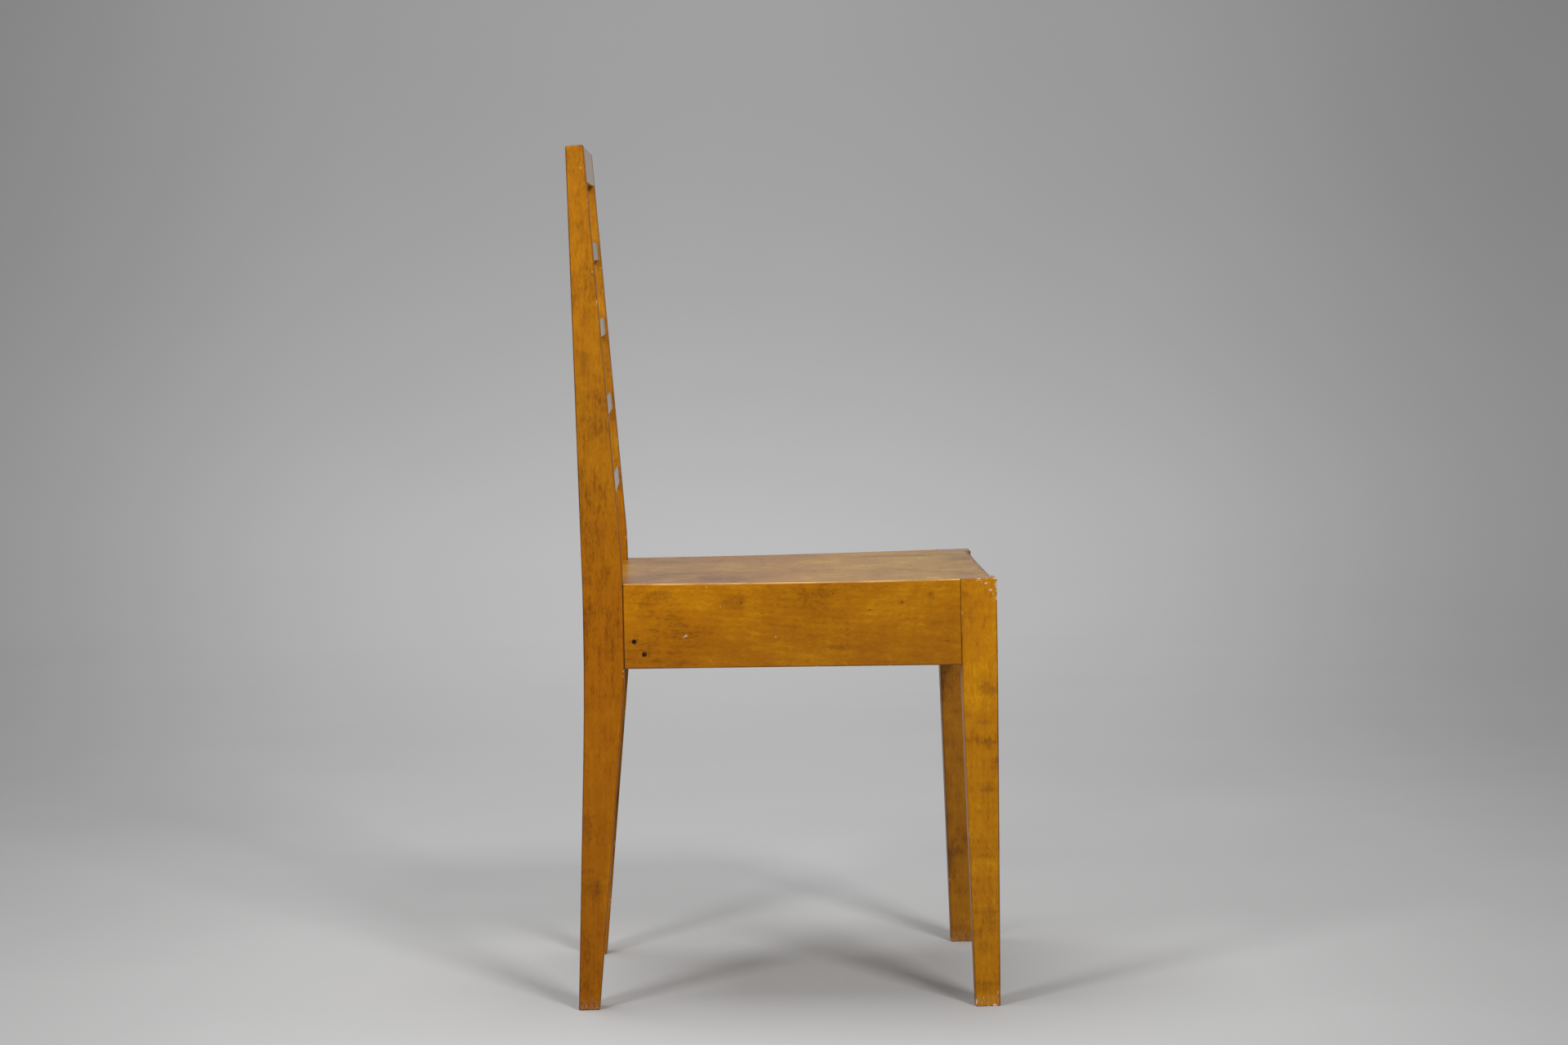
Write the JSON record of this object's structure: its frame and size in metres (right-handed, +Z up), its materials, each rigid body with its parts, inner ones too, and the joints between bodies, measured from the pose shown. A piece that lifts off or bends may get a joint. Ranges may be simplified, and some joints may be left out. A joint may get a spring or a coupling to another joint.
{
  "type": "side chair",
  "caption": "Joined wooden side chair: ladder back of plain horizontal slats, shallow hollowed panel seat in a deep rail frame, square tapered legs.",
  "frame": {"origin": "on the floor, at the bottom centre of the chair's bounding box", "axes": "+Z up, the sitter faces -Y, the sitter's right is -X"},
  "size_m": [0.43, 0.4319, 0.8809],
  "materials": {
    "leg_wood": "amber varnish, semi-gloss",
    "rail_wood": "amber varnish, semi-gloss",
    "seat_wood": "amber varnish, worn semi-gloss",
    "block_wood": "raw, unvarnished",
    "screw_steel": "dulled",
    "nail_iron": "dark, oxidised"
  },
  "bodies": {
    "root": {"rear_leg_right": "leg_wood", "rear_leg_left": "leg_wood", "front_leg_right": "leg_wood", "front_leg_left": "leg_wood", "side_rail_right": "rail_wood", "side_rail_left": "rail_wood", "front_rail": "rail_wood", "rear_rail": "rail_wood", "top_rail": "rail_wood", "slat_1": "rail_wood", "slat_2": "rail_wood", "slat_3": "rail_wood", "slat_4": "rail_wood", "seat_panel": "seat_wood", "corner_block_front_right": "block_wood", "corner_block_front_left": "block_wood", "corner_block_rear_right": "block_wood", "corner_block_rear_left": "block_wood", "block_screws": "screw_steel", "seat_screws": "screw_steel", "rail_nails": "nail_iron"}
  },
  "joints": []
}
